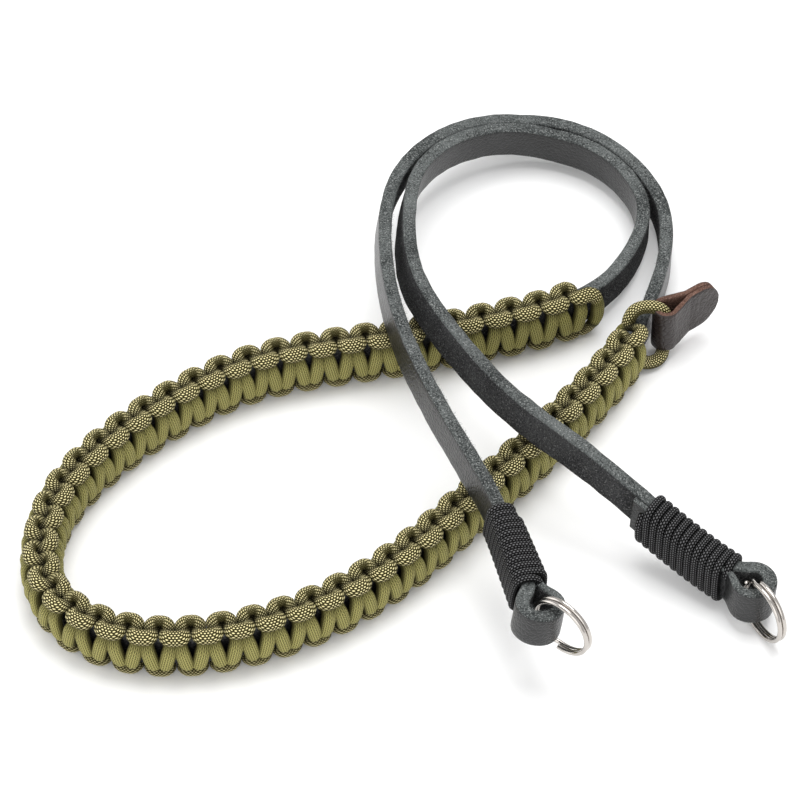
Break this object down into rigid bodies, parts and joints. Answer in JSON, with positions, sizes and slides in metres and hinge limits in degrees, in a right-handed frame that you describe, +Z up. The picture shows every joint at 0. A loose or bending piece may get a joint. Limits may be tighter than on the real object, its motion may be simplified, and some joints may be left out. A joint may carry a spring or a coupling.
{
  "type": "camera neck strap",
  "caption": "Coiled neck strap for a camera: black leather strap with an olive cord braid at its middle, whipped ends, split rings and a small label tab.",
  "frame": {"origin": "middle of the bounding box, on the floor", "axes": "+Z up from the floor the strap lies on; the strap's rings point towards -Y and the leather loop towards +Y"},
  "size_m": [0.189, 0.189, 0.0306],
  "materials": {
    "strap_leather": "black leather, smooth grain on one side and suede on the other",
    "olive_cord": "woven nylon cord, olive with cream flecks",
    "tab_leather": "dark brown wrinkled leather",
    "black_cord": "black braided cord with light flecks",
    "ring_steel": "polished nickel-plated steel"
  },
  "bodies": {
    "root": {"leather_strap": "strap_leather", "paracord_braid": "olive_cord", "label_tab": "tab_leather", "whipping_left": "black_cord", "whipping_right": "black_cord", "split_ring_left": "ring_steel", "split_ring_right": "ring_steel"}
  },
  "joints": []
}
